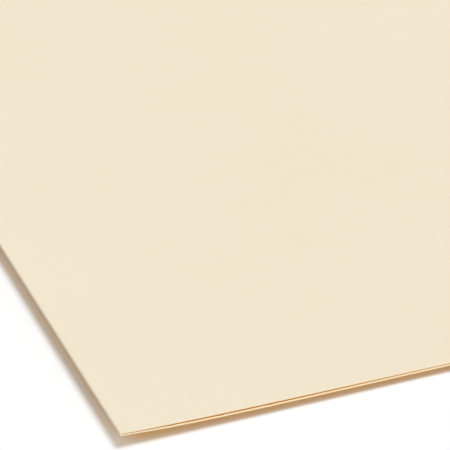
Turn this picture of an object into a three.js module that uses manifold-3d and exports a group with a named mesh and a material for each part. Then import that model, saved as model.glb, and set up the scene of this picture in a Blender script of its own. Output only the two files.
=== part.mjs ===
// Fastener folder, closed and lying flat: a board folder with a two-prong paper fastener on each leaf.
// Millimetres, +Z up. The fold runs along the left side, the open edge faces +X, and the fasteners
// lie near the short edge at +Y. The origin is under the middle of the folder, on the table.

import * as THREE from "three";
import { mergeVertices } from "three/addons/utils/BufferGeometryUtils.js";
import Module from "manifold-3d";

// Leaves: one sheet of board, folded once. The back leaf carries the tab.
const BOARD = 0.28;
const FOLDER_WIDTH = 241.3; // fold to the outer edge of the tab
const FOLDER_LENGTH = 298.45; // along the fold
const TAB_HEIGHT = 12.7; // how far the tab stands out past the leaves
const TAB_LENGTH = 99.5;
const TAB_SHOULDER = 10; // length along the edge of the sloping end of the tab
const OUTER_CORNER = 9; // radius of the round corners on the open edges and the tab
const PLY = 0.2; // second layer along both open edges
const PLY_WIDTH = 25.4; // measured from the leaf's own edge
const PLY_MARGIN = 1; // between where the leaves have fully parted and the second layer's inner edge
const GLUE = 0.05; // clear space kept where one piece is bonded to another

// Fold
const CREASE_RADIUS = 0.32; // outside radius of the bent board, pressed almost flat
const CREASE_CLEARANCE = 0.55; // from the fold's axis to the edge of the swinging leaf

// How the closed folder lies: the fold stands a little off the table, the leaves bend down beside it
// and sink to the table, sooner by the fasteners than at the other end, and the open edges curl up.
const FOLD_LIFT = 1.5;
const FOLD_RISE = 0.56; // height of the fold above the leaf beside it
const RISE_RUN = 50; // from the fold to where that bend has died out
const LIFT_HELD = 35; // from the fold to where the back leaf starts to sink, at the far end
const LIFT_REACH_FAR = 120; // from the fold to where it touches the table, at the far end
const EDGE_CURL = 0.6; // rise at the outer edge of the tab
const FAR_LEVEL = 38; // length at the far short edge along which the lift stays the same
const SEAT_MARGIN = 2; // level board past each end of the fastener's patch
const SEAT_RUN = 26; // level board from the patch towards the middle of the folder

// Space between the closed leaves
const LEAF_GAP = 0.12;
const SLIT = 0.2; // the back leaf springs down this far below the front one beside the crease
const SLIT_OPEN = 15; // distance from the fold at which the slit reaches its full width
const SLIT_HELD = 17; // distance from the fold up to which it keeps that width
const SLIT_CLOSED = 34; // distance from the fold at which the leaves lie together
const BULGE_FAR_LEVEL = 58; // length at the far end where the front leaf doesn't climb at all

// Fastener: base strip, prongs, compressor bar and sliders
const TIN = 0.3;
const HOLE_SPACING = 69.85; // between the two prongs
const FASTENER_INSET = 16; // from the short edge to the line of the prongs
const BASE_WIDTH = 9;
const BASE_END_ROOM = 4; // from each prong to the start of the wide part of the base
const BEND_RADIUS = 0.5; // outside radius where the base turns up into the riser
const PRONG_WIDTH = 4.8;
const PRONG_LENGTH = 38.1; // from the bend
const PRONG_START = 0.35; // from the bend's axis to the flat of the prong
const RISER_CLEARANCE = 0.2; // from the riser's top to the bend's axis
const PATCH = 0.2;
const PATCH_LENGTH = 127;
const PATCH_WIDTH = 25.4;
const PATCH_SLIT = 1; // along the bar
const PATCH_SLIT_SIDE = 0.4; // beside each edge of the prong
const PATCH_ROOM = 1; // flat of the patch past the base
const PATCH_SLOPE = 1.5; // run of the patch down to the leaf
const BAR_LENGTH = 84;
const BAR_END_RADIUS = 3;
const BEAD_RADIUS = 0.5; // rolled edge of the bar
const BEAD_SPACING = 9; // between the centres of the two rolled edges
const SLOT_LENGTH = 5.8; // across the bar, for the prong's width
const SLOT_WIDTH = 3;
const SLIDER_LENGTH = 7;
const SLIDER_WALL = 0.25;
const SLIDER_LIP = 1.6; // how far the sleeve turns in under the bar
const SLIDER_PARKED = 12.5; // from the middle of the bar to the middle of the parked slider
const RUNNING_GAP = 0.05; // between sliding faces
const FACING_GAP = 0.6; // between the two fasteners when the folder is closed

// Spacing of the grid that the leaves are built on
const LONGEST_ROW = 20; // along the fold
const LONGEST_COLUMN = 14; // across the leaf

// Places that follow from the sizes
const foldX = -FOLDER_WIDTH / 2;
const foldAxisX = foldX + CREASE_RADIUS;
const foldAxisZ = FOLD_LIFT + CREASE_RADIUS;
const leafStartX = foldAxisX + CREASE_CLEARANCE;
const leafEdgeX = foldX + FOLDER_WIDTH - TAB_HEIGHT;
const tabEdgeX = foldX + FOLDER_WIDTH;
const plyStartX = leafEdgeX - PLY_WIDTH;
const farY = -FOLDER_LENGTH / 2;
const nearY = FOLDER_LENGTH / 2;
const fastenerY = nearY - FASTENER_INSET;
const holeX = HOLE_SPACING / 2;
const creaseGap = 2 * (CREASE_RADIUS - BOARD);
const springDown = SLIT - creaseGap;
const plyRoom = 2 * (GLUE + PLY);

// The level seat of the fasteners. Towards the fold the leaves bend up to the crease, and towards
// the open edge they part to make room for the second layers.
const seatStartX = -PATCH_LENGTH / 2 - SEAT_MARGIN;
const seatEndX = PATCH_LENGTH / 2 + SEAT_MARGIN;
const seatStartY = fastenerY - PATCH_WIDTH / 2 - SEAT_RUN;

// Levels in a fastener, above the leaf that carries it
const baseLow = GLUE;
const patchTop = baseLow + TIN + GLUE + PATCH;
const lipLow = patchTop + RUNNING_GAP;
const beadLow = lipLow + SLIDER_WALL + RUNNING_GAP;
const barMiddle = beadLow + BEAD_RADIUS;
const prongLow = barMiddle + TIN / 2 + RUNNING_GAP;
const prongAxis = prongLow + TIN / 2;
const sliderRoof = Math.max(barMiddle + BEAD_RADIUS, prongLow + TIN) + RUNNING_GAP;
const fastenerHeight = sliderRoof + SLIDER_WALL;
const bulge = 2 * fastenerHeight + FACING_GAP - LEAF_GAP;

const board = { color: 0xf1e7ce, roughness: 0.85, metalness: 0 };
const patchPaper = { color: 0xe9dfc6, roughness: 0.8, metalness: 0 };
const tinplate = { color: 0xb9bbbd, roughness: 0.32, metalness: 1 };

const wasm = await Module();
wasm.setup();

const mix = (a, b, t) => a + (b - a) * t;

// Goes smoothly from 0 at start to 1 at end.
function smoothRamp(start, end, value) {
  const t = THREE.MathUtils.clamp((value - start) / (end - start), 0, 1);
  return t * t * (3 - 2 * t);
}

function namedMesh(name, geometry, finish) {
  const shown = geometry.index ? geometry.toNonIndexed() : geometry;
  shown.computeVertexNormals();
  const mesh = new THREE.Mesh(shown, new THREE.MeshStandardMaterial(finish));
  mesh.name = name;
  return mesh;
}

// Closed slab over a grid. Each column is a function of y that gives x, each row is a y,
// low and high give the two faces, and the cells that isOpen names are left out as holes.
function slab(columns, rows, low, high, isOpen = () => false) {
  const points = [];
  for (const y of rows) {
    for (const column of columns) {
      const x = column(y);
      points.push(x, y, low(x, y), x, y, high(x, y));
    }
  }
  const under = (i, j) => 2 * (j * columns.length + i);
  const over = (i, j) => under(i, j) + 1;
  const inGrid = (i, j) => i >= 0 && j >= 0 && i < columns.length - 1 && j < rows.length - 1;
  const solid = (i, j) => inGrid(i, j) && !isOpen(i, j);
  const faces = [];
  const quad = (a, b, c, d) => faces.push(a, b, c, a, c, d);
  for (let j = 0; j < rows.length - 1; j++) {
    for (let i = 0; i < columns.length - 1; i++) {
      if (!solid(i, j)) continue;
      quad(over(i, j), over(i + 1, j), over(i + 1, j + 1), over(i, j + 1));
      quad(under(i, j), under(i, j + 1), under(i + 1, j + 1), under(i + 1, j));
      if (!solid(i, j - 1)) quad(under(i, j), under(i + 1, j), over(i + 1, j), over(i, j));
      if (!solid(i, j + 1)) {
        quad(under(i + 1, j + 1), under(i, j + 1), over(i, j + 1), over(i + 1, j + 1));
      }
      if (!solid(i - 1, j)) quad(under(i, j + 1), under(i, j), over(i, j), over(i, j + 1));
      if (!solid(i + 1, j)) {
        quad(under(i + 1, j), under(i + 1, j + 1), over(i + 1, j + 1), over(i + 1, j));
      }
    }
  }
  const geometry = new THREE.BufferGeometry();
  geometry.setAttribute("position", new THREE.Float32BufferAttribute(points, 3));
  geometry.setIndex(faces);
  return geometry;
}

// Extrudes a shape by a length, centred, with the shape's own x and y laid along the given directions.
function extrudeAcross(shape, length, right, up) {
  const geometry = new THREE.ExtrudeGeometry(shape, {
    depth: length,
    bevelEnabled: false,
    curveSegments: 6,
  });
  const away = new THREE.Vector3().crossVectors(right, up);
  geometry.translate(0, 0, -length / 2);
  return geometry.applyMatrix4(new THREE.Matrix4().makeBasis(right, up, away));
}

const alongX = new THREE.Vector3(1, 0, 0);
const alongY = new THREE.Vector3(0, 1, 0);
const alongZ = new THREE.Vector3(0, 0, 1);

function asSolid(geometry) {
  const bare = geometry.index ? geometry.toNonIndexed() : geometry.clone();
  bare.deleteAttribute("normal");
  bare.deleteAttribute("uv");
  const merged = mergeVertices(bare, 1e-4);
  return new wasm.Manifold(
    new wasm.Mesh({
      numProp: 3,
      vertProperties: new Float32Array(merged.attributes.position.array),
      triVerts: new Uint32Array(merged.index.array),
    }),
  );
}

// Joins two closed geometries into one.
function joined(first, second) {
  const made = asSolid(first).add(asSolid(second)).getMesh();
  const geometry = new THREE.BufferGeometry();
  geometry.setAttribute("position", new THREE.BufferAttribute(made.vertProperties, 3));
  geometry.setIndex(new THREE.BufferAttribute(made.triVerts, 1));
  return geometry;
}

// Sorted values between two ends: the given stops, with no step longer than the longest one.
function steps(start, end, stops, longest) {
  const inside = stops.filter((stop) => stop > start && stop < end);
  const ordered = [start, ...inside.sort((a, b) => a - b), end];
  const values = [start];
  for (let k = 1; k < ordered.length; k++) {
    const span = ordered[k] - ordered[k - 1];
    if (span < 1e-3) continue;
    const count = Math.ceil(span / longest);
    for (let n = 1; n <= count; n++) values.push(ordered[k - 1] + (span * n) / count);
  }
  return values;
}

// How far a round corner of the given radius draws an edge in, at a distance from the corner's end.
function cornerInset(distance, radius) {
  if (distance >= radius) return 0;
  const rest = radius - Math.max(distance, 0);
  return radius - Math.sqrt(radius * radius - rest * rest);
}

// Distances from a round corner's end at even angles round its arc.
function cornerStops(radius) {
  const angles = [1, 2, 3, 4].map((n) => (n * Math.PI) / 8);
  return angles.map((angle) => radius * (1 - Math.cos(angle)));
}

// Outer edge of the back leaf, with its tab at the far end.
const tabEndY = farY + TAB_LENGTH;
function backEdge(y) {
  const onTab = 1 - smoothRamp(tabEndY - TAB_SHOULDER, tabEndY, y);
  const edge = mix(leafEdgeX, tabEdgeX, onTab);
  return edge - cornerInset(y - farY, OUTER_CORNER) - cornerInset(nearY - y, OUTER_CORNER);
}

// Outer edge of the front leaf.
function frontEdge(y) {
  return leafEdgeX - cornerInset(y - farY, OUTER_CORNER) - cornerInset(nearY - y, OUTER_CORNER);
}

// Goes from 0 at the crease to 1 where the slit has its full width.
const slitOpening = (x) => smoothRamp(leafStartX, foldX + SLIT_OPEN, x);

// Underside of the back leaf.
function backLow(x, y) {
  const nearness = smoothRamp(farY + FAR_LEVEL, seatStartY, y);
  const sinkStartX = mix(foldX + LIFT_HELD, leafStartX, nearness);
  const sinkEndX = mix(foldX + LIFT_REACH_FAR, seatStartX, nearness);
  const sunk = smoothRamp(sinkStartX, sinkEndX, x);
  const bent = Math.max(0, 1 - (x - leafStartX) / RISE_RUN) ** 5;
  const curled = Math.max(0, (x - seatEndX) / (tabEdgeX - seatEndX));
  const level = (FOLD_LIFT - FOLD_RISE - springDown) * (1 - sunk);
  return level + FOLD_RISE * bent + springDown * (1 - slitOpening(x)) + EDGE_CURL * curled ** 2;
}
const backHigh = (x, y) => backLow(x, y) + BOARD;

// Underside of the front leaf, which is its inner face while the folder is closed.
function frontLow(x, y) {
  const closing = smoothRamp(foldX + SLIT_HELD, foldX + SLIT_CLOSED, x);
  const slit = mix(mix(creaseGap, SLIT, slitOpening(x)), LEAF_GAP, closing);
  const apart = plyRoom * smoothRamp(seatEndX, plyStartX - PLY_MARGIN, x);
  const climb = smoothRamp(leafStartX, seatStartX, x);
  const nearness = smoothRamp(farY + BULGE_FAR_LEVEL, seatStartY, y);
  return backHigh(x, y) + slit + apart + bulge * climb * nearness;
}
const frontHigh = (x, y) => frontLow(x, y) + BOARD;

const fromFar = (distance) => farY + distance;
const fromNear = (distance) => nearY - distance;
const rowStops = [
  ...cornerStops(OUTER_CORNER).map(fromFar),
  ...cornerStops(OUTER_CORNER).map(fromNear),
  ...[0, 0.25, 0.5, 0.75, 1].map((share) => tabEndY - TAB_SHOULDER * share),
  fromFar(FAR_LEVEL),
  fromFar(BULGE_FAR_LEVEL),
  seatStartY,
];
const leafRows = steps(farY, nearY, rowStops, LONGEST_ROW);

const columnStops = [
  ...[0.05, 0.1, 0.2, 0.4].map((share) => leafStartX + RISE_RUN * share),
  foldX + SLIT_OPEN,
  foldX + SLIT_HELD,
  foldX + SLIT_CLOSED,
  seatStartX,
  seatEndX,
];
const leafColumns = steps(leafStartX, plyStartX, columnStops, LONGEST_COLUMN);

// The last columns spread from the start of the second layer to the leaf's own outline.
const edgeShares = [0.25, 0.5, 0.75, 1];
const toEdge = (edge) => (share) => (y) => mix(plyStartX, edge(y), share);
const fixed = (x) => () => x;

function leaf(name, edge, low, high) {
  const columns = [...leafColumns.map(fixed), ...edgeShares.map(toEdge(edge))];
  return namedMesh(name, slab(columns, leafRows, low, high), board);
}

function secondPly(name, edge, low) {
  const columns = [0, ...edgeShares].map(toEdge(edge));
  return namedMesh(name, slab(columns, leafRows, low, (x, y) => low(x, y) + PLY), board);
}

// The bent board: a half ring round the fold's axis, with a short leg that meets the back leaf.
function foldCrease() {
  const inner = CREASE_RADIUS - BOARD;
  const section = new THREE.Shape();
  section.moveTo(foldAxisX, foldAxisZ + CREASE_RADIUS);
  section.absarc(foldAxisX, foldAxisZ, CREASE_RADIUS, Math.PI / 2, (3 * Math.PI) / 2, false);
  section.lineTo(leafStartX - GLUE, foldAxisZ - CREASE_RADIUS);
  section.lineTo(leafStartX - GLUE, foldAxisZ - inner);
  section.lineTo(foldAxisX, foldAxisZ - inner);
  section.absarc(foldAxisX, foldAxisZ, inner, (3 * Math.PI) / 2, Math.PI / 2, true);
  section.closePath();
  return namedMesh("fold_crease", extrudeAcross(section, FOLDER_LENGTH, alongX, alongZ), board);
}

// Paper patch laid over the base strip, with a slit for each riser.
function fastenerPatch(name) {
  const slitX = PATCH_SLIT / 2;
  const slitY = PRONG_WIDTH / 2 + PATCH_SLIT_SIDE;
  const raisedX = holeX + slitX + PATCH_ROOM;
  const raisedY = BASE_WIDTH / 2 + PATCH_ROOM;
  const halfColumns = [holeX - slitX, holeX + slitX, raisedX, raisedX + PATCH_SLOPE, PATCH_LENGTH / 2];
  const halfRows = [slitY, raisedY, raisedY + PATCH_SLOPE, PATCH_WIDTH / 2];
  const columns = [...halfColumns.map((x) => -x).reverse(), ...halfColumns];
  const rows = [...halfRows.map((y) => -y).reverse(), ...halfRows];
  const low = (x, y) => {
    const overX = 1 - THREE.MathUtils.clamp((Math.abs(x) - raisedX) / PATCH_SLOPE, 0, 1);
    const overY = 1 - THREE.MathUtils.clamp((Math.abs(y) - raisedY) / PATCH_SLOPE, 0, 1);
    return GLUE + (TIN + GLUE) * Math.min(overX, overY);
  };
  const middleRow = halfRows.length - 1;
  const leftSlit = halfColumns.length - 2;
  const rightSlit = halfColumns.length;
  const isSlit = (i, j) => j === middleRow && (i === leftSlit || i === rightSlit);
  return namedMesh(
    name,
    slab(columns.map(fixed), rows, low, (x, y) => low(x, y) + PATCH, isSlit),
    patchPaper,
  );
}

// One strip of tinplate: wide in the middle, narrow at both ends, where it turns up into a riser.
function fastenerBase(name) {
  const outer = holeX + TIN / 2;
  const bendX = outer - BEND_RADIUS;
  const bendZ = baseLow + BEND_RADIUS;
  const inner = BEND_RADIUS - TIN;
  const top = prongAxis - RISER_CLEARANCE;
  const side = new THREE.Shape();
  side.moveTo(-outer, top);
  side.lineTo(-outer, bendZ);
  side.absarc(-bendX, bendZ, BEND_RADIUS, Math.PI, 1.5 * Math.PI, false);
  side.lineTo(bendX, baseLow);
  side.absarc(bendX, bendZ, BEND_RADIUS, -0.5 * Math.PI, 0, false);
  side.lineTo(outer, top);
  side.lineTo(outer - TIN, top);
  side.lineTo(outer - TIN, bendZ);
  side.absarc(bendX, bendZ, inner, 0, -0.5 * Math.PI, true);
  side.lineTo(-bendX, baseLow + TIN);
  side.absarc(-bendX, bendZ, inner, -0.5 * Math.PI, -Math.PI, true);
  side.lineTo(TIN - outer, top);
  side.closePath();
  const strip = extrudeAcross(side, PRONG_WIDTH, alongX, alongZ);
  const wide = new THREE.BoxGeometry(2 * (holeX - BASE_END_ROOM), BASE_WIDTH, TIN);
  wide.translate(0, 0, baseLow + TIN / 2);
  return namedMesh(name, joined(strip, wide), tinplate);
}

// Pressed bar with rolled edges and a slot for each prong.
function fastenerCompressor(name) {
  const beadY = BEAD_SPACING / 2;
  const halfWidth = beadY + BEAD_RADIUS;
  const slotX = SLOT_WIDTH / 2;
  const halfHeight = (y) => {
    const off = Math.abs(y) - beadY;
    return Math.max(TIN / 2, Math.sqrt(Math.max(0, BEAD_RADIUS ** 2 - off ** 2)));
  };
  const beadRows = [-1, -0.8, -0.4, 0, 0.4, 0.8, 1].map((share) => beadY + share * BEAD_RADIUS);
  const halfRows = [SLOT_LENGTH / 2, ...beadRows];
  const rows = [...halfRows.map((y) => -y).reverse(), ...halfRows];
  const roundEnd = (y) => BAR_LENGTH / 2 - cornerInset(halfWidth - Math.abs(y), BAR_END_RADIUS);
  const columns = [
    (y) => -roundEnd(y),
    fixed(-holeX - slotX),
    fixed(-holeX + slotX),
    fixed(holeX - slotX),
    fixed(holeX + slotX),
    roundEnd,
  ];
  const isSlot = (i, j) => j === halfRows.length - 1 && (i === 1 || i === 3);
  const low = (x, y) => barMiddle - halfHeight(y);
  const high = (x, y) => barMiddle + halfHeight(y);
  return namedMesh(name, slab(columns, rows, low, high, isSlot), tinplate);
}

// Bendable tongue, lying flat over the bar's end. Its own x runs from the bend to the tip.
function fastenerProng(name, direction) {
  const half = PRONG_WIDTH / 2;
  const outline = new THREE.Shape();
  outline.moveTo(PRONG_START, -half);
  outline.lineTo(PRONG_LENGTH - half, -half);
  outline.absarc(PRONG_LENGTH - half, 0, half, -Math.PI / 2, Math.PI / 2, false);
  outline.lineTo(PRONG_START, half);
  outline.closePath();
  const mesh = namedMesh(name, extrudeAcross(outline, TIN, alongX, alongY), tinplate);
  mesh.position.set(direction * holeX, 0, prongAxis);
  mesh.rotation.z = direction < 0 ? Math.PI : 0;
  return mesh;
}

// Open sleeve round the bar.
function fastenerSlider(name, direction) {
  const inside = BEAD_SPACING / 2 + BEAD_RADIUS + RUNNING_GAP;
  const outside = inside + SLIDER_WALL;
  const lip = outside - SLIDER_LIP;
  const roof = sliderRoof + SLIDER_WALL;
  const section = new THREE.Shape();
  section.moveTo(lip, lipLow);
  section.lineTo(outside, lipLow);
  section.lineTo(outside, roof);
  section.lineTo(-outside, roof);
  section.lineTo(-outside, lipLow);
  section.lineTo(-lip, lipLow);
  section.lineTo(-lip, lipLow + SLIDER_WALL);
  section.lineTo(-inside, lipLow + SLIDER_WALL);
  section.lineTo(-inside, sliderRoof);
  section.lineTo(inside, sliderRoof);
  section.lineTo(inside, lipLow + SLIDER_WALL);
  section.lineTo(lip, lipLow + SLIDER_WALL);
  section.closePath();
  const mesh = namedMesh(name, extrudeAcross(section, SLIDER_LENGTH, alongY, alongZ), tinplate);
  mesh.position.x = direction * SLIDER_PARKED;
  return mesh;
}

// A whole fastener, standing on the plane z = 0 of its own group.
function fastener(side) {
  const group = new THREE.Group();
  group.add(
    fastenerPatch(`${side}_patch`),
    fastenerBase(`${side}_base`),
    fastenerCompressor(`${side}_compressor`),
    fastenerProng(`${side}_left_prong`, -1),
    fastenerProng(`${side}_right_prong`, 1),
    fastenerSlider(`${side}_left_slider`, -1),
    fastenerSlider(`${side}_right_slider`, 1),
  );
  return group;
}

const rearFastener = fastener("rear");
rearFastener.position.set(0, fastenerY, backHigh(0, fastenerY));

// The front fastener is the same one turned over, hanging from the front leaf's inner face.
const frontFastener = fastener("front");
frontFastener.position.set(0, fastenerY, frontLow(0, fastenerY));
frontFastener.rotation.x = Math.PI;

const folder = new THREE.Group();
folder.name = "fastener_folder";
folder.add(
  leaf("back_leaf", backEdge, backLow, backHigh),
  foldCrease(),
  leaf("front_leaf", frontEdge, frontLow, frontHigh),
  secondPly("back_tab_ply", backEdge, (x, y) => backHigh(x, y) + GLUE),
  secondPly("front_edge_ply", frontEdge, (x, y) => frontLow(x, y) - GLUE - PLY),
  rearFastener,
  frontFastener,
);

export default folder;
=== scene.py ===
import math
from functools import partial, reduce

import bpy
import numpy as np
from bpy.props import FloatProperty, FloatVectorProperty, PointerProperty
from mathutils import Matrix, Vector


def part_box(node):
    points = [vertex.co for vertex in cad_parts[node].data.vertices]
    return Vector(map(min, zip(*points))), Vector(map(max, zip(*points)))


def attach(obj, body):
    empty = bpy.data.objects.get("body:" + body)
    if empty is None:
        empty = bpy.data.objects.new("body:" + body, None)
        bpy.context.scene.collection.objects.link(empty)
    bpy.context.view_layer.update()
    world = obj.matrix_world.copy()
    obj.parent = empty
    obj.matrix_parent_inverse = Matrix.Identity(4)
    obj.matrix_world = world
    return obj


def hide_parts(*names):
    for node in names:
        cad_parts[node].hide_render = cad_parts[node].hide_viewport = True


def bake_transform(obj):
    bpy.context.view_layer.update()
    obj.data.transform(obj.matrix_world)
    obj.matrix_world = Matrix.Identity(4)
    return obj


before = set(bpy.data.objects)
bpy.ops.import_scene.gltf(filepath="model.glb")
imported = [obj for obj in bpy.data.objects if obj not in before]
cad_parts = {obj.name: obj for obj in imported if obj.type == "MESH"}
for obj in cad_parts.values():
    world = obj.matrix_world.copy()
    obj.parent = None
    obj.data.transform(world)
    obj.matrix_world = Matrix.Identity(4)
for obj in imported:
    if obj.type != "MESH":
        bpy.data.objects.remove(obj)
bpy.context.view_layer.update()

bl_info = {
    "name": "Fastener folder",
    "version": (1, 0, 0),
    "blender": (4, 5, 0),
    "location": "3D View > Sidebar > Folder",
    "description": "Builds a closed board folder with a two-prong fastener on each leaf",
    "category": "Object",
}

MM = 0.001

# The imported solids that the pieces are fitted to: (lowest corner, highest corner), in metres
CREASE_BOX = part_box("fold_crease")
BACK_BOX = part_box("back_leaf")
FRONT_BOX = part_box("front_leaf")
TAB_PLY_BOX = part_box("back_tab_ply")
PATCH_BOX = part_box("rear_patch")
FRONT_PATCH_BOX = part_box("front_patch")
BAR_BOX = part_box("rear_compressor")
SLIDER_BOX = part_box("rear_right_slider")
PRONG_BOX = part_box("rear_right_prong")
BASE_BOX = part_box("rear_base")

# The photograph's frame, and where the folder's visible corner lies in it, in pixels
IMAGE_SIDE = 450
CORNER_COLUMN = 119.0
CORNER_ROW = 435.22

# Axes of a point or a box, and the direction of each end of a fastener
X, Y, Z = range(3)
ENDS = {"left": -1, "right": 1}

# Longest steps of the grids. Of two, the first is along the strip and the second across it
BOARD_STEP = 3.4 * MM
PATCH_STEPS = (1.1 * MM, 0.55 * MM)
BAR_STEPS = (3 * MM, 1.2 * MM)
PRONG_STEP = 2.4 * MM
SLIDER_STEP = 0.7 * MM

# Sheets: how much of its rounding an edge keeps where it meets the next piece, the sine below which
# two steps of an outline count as in line, the most of the thickness that a round edge takes, and
# how far a piece may stray from its solid
SEAM_SHARE = 0.05
IN_LINE = 0.2
MOST_ROUND = 0.49
MOST_STRAY = 0.7 * MM

# Prongs: the first step past the bend, and a share of the flat there
PAST_BEND = 0.4 * MM
BEND_START = 0.3

# The darkest tone of a material as a share of its colour
PATCH_DARKEST = 0.95
TIN_DARKEST = 0.80

# Stage: half the floor's side, and the directions of the lights
FLOOR_REACH = 25.0
KEY_TOWARDS = (0.30, 0.0, 1.0)
FRONT_TOWARDS = (0.0, -1.0, 0.18)

# The floor's shade: how far off the folder counts, the openness at which the shade starts and is
# whole, the same for the distance inwards from the fold, and its share outside the fold
SHADE_REACH = 5 * MM
SHADE_OPENNESS = (0.6, 0.1)
SHADE_DISTANCES = (-1 * MM, 3 * MM)
SHADE_OUTSIDE = 0.22


def length(name, description, millimetres):
    """A length, given here in millimetres and shown in the scene's unit."""
    return FloatProperty(
        name=name, description=description, default=millimetres * MM, precision=5, subtype="DISTANCE",
        unit="LENGTH",
    )


def colour(name, description, default):
    """A linear colour."""
    return FloatVectorProperty(
        name=name, description=description, default=default, size=3, min=0, max=1, subtype="COLOR"
    )


def share(name, description, default):
    """A plain number between 0 and 1."""
    return FloatProperty(name=name, description=description, default=default, min=0, max=1, subtype="FACTOR")


def amount(name, description, default):
    """A plain number that is never negative."""
    return FloatProperty(name=name, description=description, default=default, min=0)


def angle(name, description, degrees):
    """An angle, given here in degrees."""
    return FloatProperty(name=name, description=description, default=math.radians(degrees), subtype="ANGLE")


class BoardSizes(bpy.types.PropertyGroup):
    """Sizes of the folded board and of the way it lies"""

    board: length("Board", "Thickness of the board", 0.28)
    ply: length("Second layer", "Thickness of the layer along each open edge", 0.2)
    glue: length("Glue", "Clear space where one piece is bonded to another", 0.05)
    pressed: share("Pressed", "Share of the board's thickness that is left in the crease", 0.7)
    edge_round: length("Cut edge", "Rounding of the board's cut edges", 0.03)
    corner: length("Corner", "Radius of the round corners", 9)
    tab_length: length("Tab", "Length of the tab along the open edge", 99.5)
    tab_shoulder: length("Tab shoulder", "Length of the tab's sloping end", 10)
    rise: length("Fold rise", "Height of the fold above the leaf beside it", 0.56)
    rise_run: length("Rise run", "From the fold to where that bend has died out", 50)
    lift_held: length("Lift held", "From the fold to where the back leaf starts to sink", 33)
    reach_far: length("Reach", "From the fold to where it touches the table", 120)
    edge_curl: length("Edge curl", "Rise of the open edge", 0.6)
    far_level: length("Far level", "Length at the far end along which the lift stays the same", 38)
    bulge_level: length("Flat end", "Length at the far end where the front leaf lies flat", 58)
    seat_margin: length("Seat margin", "Level board past each end of a patch", 2)
    seat_run: length("Seat run", "Level board from a patch towards the middle", 26)
    leaf_gap: length("Leaf gap", "Space between the closed leaves", 0.06)
    fold_gap: length("Fold gap", "Space inside the folded crease", 0.08)
    slit: length("Slit", "How far the board springs apart beside the crease", 0.17)
    slit_open: length("Slit open", "From the fold to where the slit is at its full width", 11)
    slit_held: length("Slit held", "From the fold to where the slit starts to close", 18)
    slit_closed: length("Slit closed", "From the fold to where the leaves lie together", 46)
    ply_margin: length("Layer margin", "Level board inside the second layer's edge", 1)
    press_run: length("Press run", "From the fold to where the board has its full thickness again", 6)
    # Painted glow: a warm orange laid on the inner faces beside the slit, standing in for light bounced and
    # scattered in the slit
    glow_reach: length("Rim", "How far light soaks into the inside of the board from the slit", 0.4)
    glow_fade: length("Rim fade", "From the end of the slit to where that rim has faded out", 20)
    # The cut edge's colour is partly the board's own warmer edge and partly painted glow; less of it is laid
    # on in the crease and on the front leaf
    crease_cut: share("Crease's cut edge", "How much of the cut edge's colour shows in the crease", 0.2)
    front_cut: share("Front cut edge", "How much of the cut edge's colour shows on the front leaf", 0.35)
    score_step: length("Score spacing", "Between the score lines of the back leaf", 6.35)
    score_depth: length("Score depth", "Depth of the score lines", 0.035)
    score_width: length("Score width", "Half width of a score line", 0.35)
    # Painted warm glow laid along each crease on the inner faces
    crease_glow: share("Crease tone", "How much of the inner rim's colour shows along each crease", 0.2)


class FastenerSizes(bpy.types.PropertyGroup):
    """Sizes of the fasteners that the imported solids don't give"""

    tin: length("Tinplate", "Thickness of the strip, the prongs and the bar", 0.3)
    patch: length("Patch", "Thickness of the patch", 0.2)
    patch_slope: length("Patch slope", "Run of the patch from the strip down to the leaf", 1.5)
    patch_room: length("Patch room", "Flat of the patch past the strip", 1)
    slit: length("Patch slit", "Width of the slit for a riser", 1)
    slit_side: length("Slit side", "Room beside each edge of the prong", 0.4)
    neck: length("Neck", "From each prong to the wide part of the strip", 4)
    bar_end: length("Bar end", "Radius of the bar's corners", 3)
    bar_thin: length("Bar edge", "Least half thickness at the bar's rolled edge", 0.08)
    slot_length: length("Slot length", "Slot for a prong, across the bar", 5.8)
    slot_width: length("Slot width", "Slot for a prong, along the bar", 3)
    slider_wall: length("Slider wall", "Thickness of a slider", 0.25)
    slider_lip: length("Slider lip", "How far a slider turns in under the bar", 1.6)
    slider_bend: length("Slider bend", "Middle radius of a slider's bends", 0.3)
    slider_rib: length("Slider rib", "Height of the pressed finger ribs", 0.12)
    rib_place: length("Rib place", "From the middle of a slider to each rib", 1.3)
    rib_width: length("Rib width", "Half width of a rib", 0.45)
    rib_fade: length("Rib fade", "From a bend to where the ribs have their full height", 1.5)
    prong_root: length("Prong root", "From the bend's axis down to the riser", 0.2)
    prong_flat: length("Prong flat", "From the bend's axis to the rigid tongue", 0.35)
    prong_crown: length("Prong crown", "Rise along the middle of a prong", 0.04)
    crown_run: length("Crown run", "From the bend to where the crown has its full rise", 2)
    patch_round: length("Patch edge", "Rounding of the patch's edges", 0.03)
    tin_round: length("Tin edge", "Rounding of the tinplate's edges", 0.06)


class Finishes(bpy.types.PropertyGroup):
    """Colours of the folder's finishes, with the painted glow of the slit and the cut edges"""

    board: colour("Board", "Manila board", (0.875, 0.784, 0.608))
    board_dark: colour("Board, darker", "Manila board in its darker mottle", (0.858, 0.760, 0.580))
    # Cut edge: partly the board's own warmer edge colour, partly painted glow
    cut_edge_and_glow: colour("Cut edge", "Cut edge of the board", (0.985, 0.790, 0.460))
    # Painted glow of the light bounced in the slit, laid on the inner faces
    painted_glow: colour("Inner rim", "Inside of the board where light soaks in", (0.950, 0.470, 0.030))
    patch: colour("Patch", "Patch paper", (0.870, 0.810, 0.680))
    tin: colour("Tinplate", "Tinplate", (0.640, 0.645, 0.650))


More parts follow.
